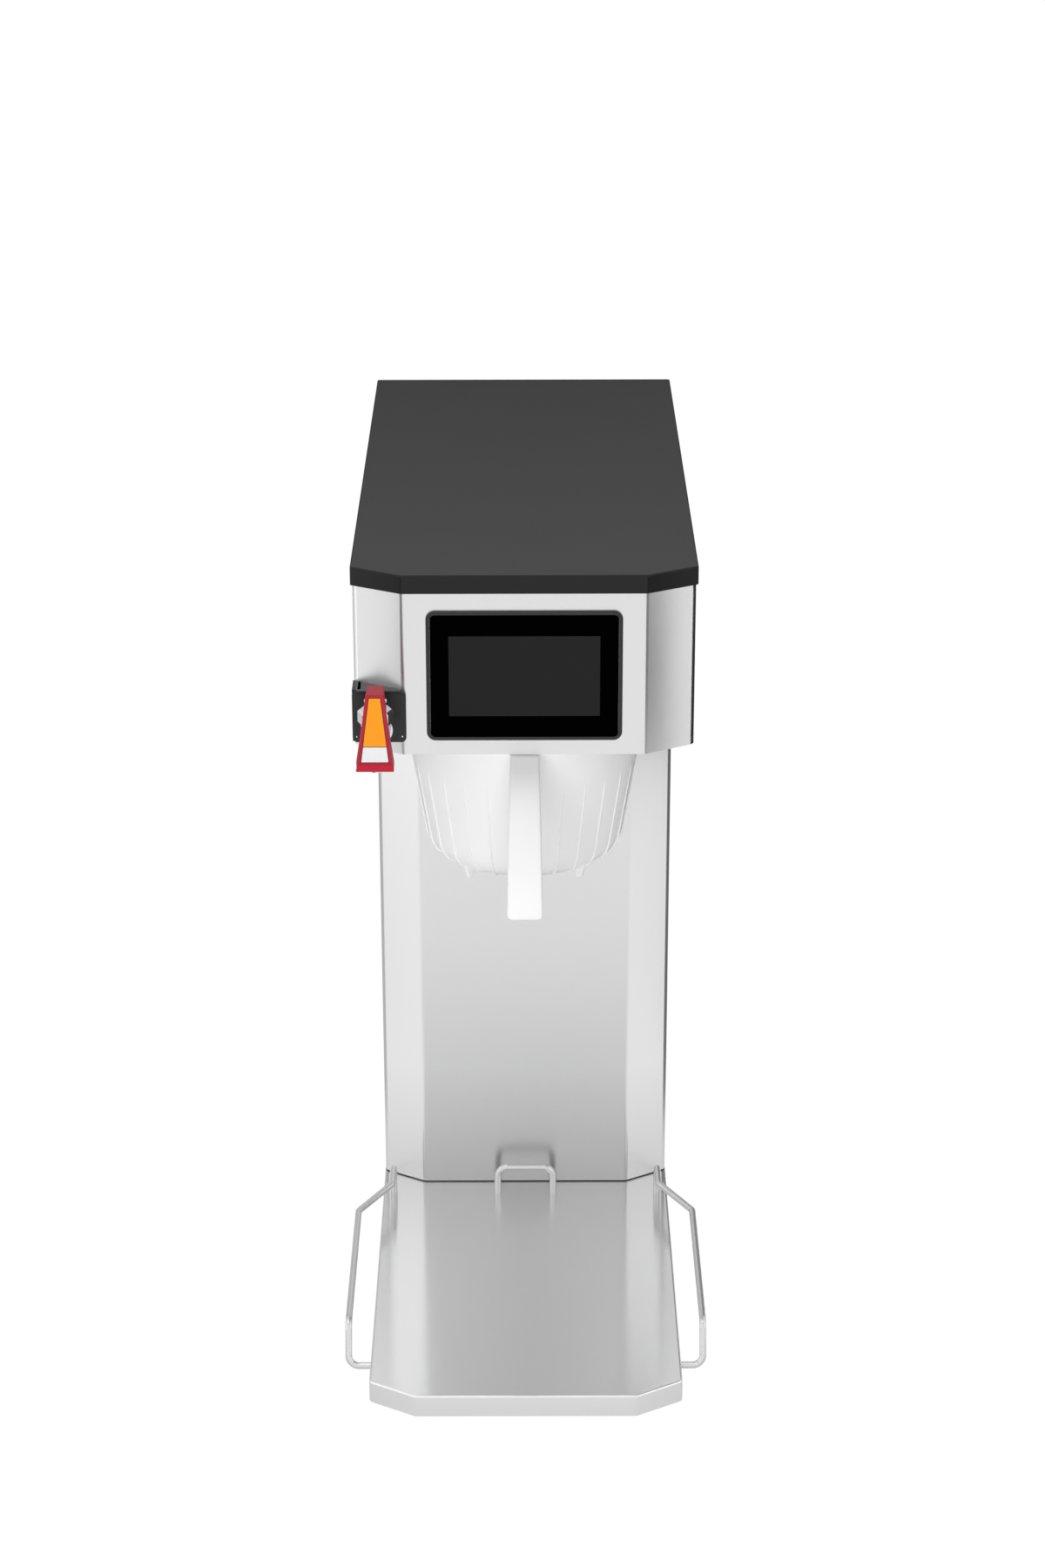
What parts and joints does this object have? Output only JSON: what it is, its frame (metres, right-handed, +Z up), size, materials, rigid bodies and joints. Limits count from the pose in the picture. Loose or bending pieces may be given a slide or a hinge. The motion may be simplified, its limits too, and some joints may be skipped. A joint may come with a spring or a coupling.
{
  "type": "coffee and tea brewer",
  "caption": "Free-standing counter brewer with a stainless C-shaped cabinet, touch display, hot water faucet, slide-out brew funnel and an open server bay with wire guides.",
  "frame": {"origin": "centre of the base's underside, on the counter", "axes": "+Z up, +Y towards the back, the display and funnel handle face -Y, +X to the right seen from the front"},
  "size_m": [0.3124, 0.6882, 0.752],
  "materials": {
    "brushed_steel": "brushed stainless sheet",
    "galvanised_steel": "dull galvanised sheet",
    "zinc_steel": "zinc plated",
    "bright_steel": "bright stainless",
    "wire_steel": "bright drawn stainless wire",
    "chrome": "chrome plated brass",
    "brass": "machined brass",
    "black_rubber": "matte rubber",
    "black_lid": "fine matte black powder coat",
    "bezel_black": "satin black plastic",
    "screen_glass": "black printed touch glass",
    "gloss_black": "gloss black plastic",
    "red_plastic": "moulded red plastic",
    "label_face": "printed film in orange and white",
    "white_plastic": "satin white moulded plastic",
    "silicone_hose": "translucent silicone",
    "valve_body": "moulded black solenoid",
    "circuit_board": "green solder mask"
  },
  "bodies": {
    "cabinet": {"base_tray": "brushed_steel", "base_plate": "galvanised_steel", "leg_sockets": "zinc_steel", "column_seal": "black_rubber", "column_wrap": "brushed_steel", "head_wrap": "brushed_steel", "head_floor": "brushed_steel", "rear_panel": "brushed_steel", "cabinet_screws": "bright_steel", "top_lid": "black_lid", "display_bezel": "bezel_black", "display_glass": "screen_glass", "display_screen": "screen_glass", "display_housing": "bezel_black", "faucet_wedge": "gloss_black", "faucet_plate": "gloss_black", "faucet_plate_screws": "bright_steel", "faucet_body": "chrome", "faucet_bonnet": "chrome", "shank_spacer": "zinc_steel", "shank_nut": "brass", "faucet_spring": "bright_steel", "funnel_rail_left": "brushed_steel", "funnel_rail_right": "brushed_steel", "spray_head": "bright_steel", "spray_nipple": "brass", "bypass_nozzle": "brass", "tank_shelf": "galvanised_steel", "water_tank": "bright_steel", "tank_lid": "bright_steel", "heating_element": "bright_steel", "temperature_probe": "bright_steel", "limit_thermostat": "bezel_black", "brew_valve": "valve_body", "bypass_valve": "valve_body", "fill_valve": "valve_body", "inlet_fitting": "brass", "brew_hose": "silicone_hose", "bypass_hose": "silicone_hose", "fill_hose": "silicone_hose", "faucet_hose": "silicone_hose", "cord_gland": "gloss_black", "switch_housing": "gloss_black", "component_panel": "galvanised_steel", "control_board": "circuit_board", "power_supply": "zinc_steel", "heater_relay": "bezel_black", "terminal_block": "bezel_black", "server_stop": "wire_steel", "side_guide_left": "wire_steel", "side_guide_right": "wire_steel"},
    "faucet_stem": {"faucet_stem": "chrome", "seat_cup": "silicone_hose"},
    "faucet_handle": {"faucet_handle": "red_plastic", "handle_label": "label_face", "faucet_pin": "bright_steel"},
    "funnel": {"funnel_basket": "white_plastic", "funnel_handle": "white_plastic", "funnel_handle_screws": "bright_steel"},
    "switch_rocker": {"switch_rocker": "gloss_black"}
  },
  "joints": [
    {"name": "faucet_lift", "type": "slide", "parent": "cabinet", "child": "faucet_stem", "axis": [0, 0, 1], "range_m": [0, 0.004], "stiffness_N_per_m": 250, "springref_m": -0.003, "deforming": ["faucet_spring"]},
    {"name": "faucet_pull", "type": "hinge", "parent": "faucet_stem", "child": "faucet_handle", "pos_m": [-0.1146, -0.3155, 0.66], "axis": [-1, 0, 0], "range_deg": [0, 25]},
    {"name": "funnel_slide", "type": "slide", "parent": "cabinet", "child": "funnel", "axis": [0, -1, 0], "range_m": [0, 0.2]},
    {"name": "switch_rock", "type": "hinge", "parent": "cabinet", "child": "switch_rocker", "pos_m": [-0.07, 0.2825, 0.122], "axis": [-1, 0, 0], "range_deg": [0, 18]}
  ],
  "couplings": [
    {"joint": "faucet_pull", "follows": "faucet_lift", "rad_per_m": 109.08}
  ]
}
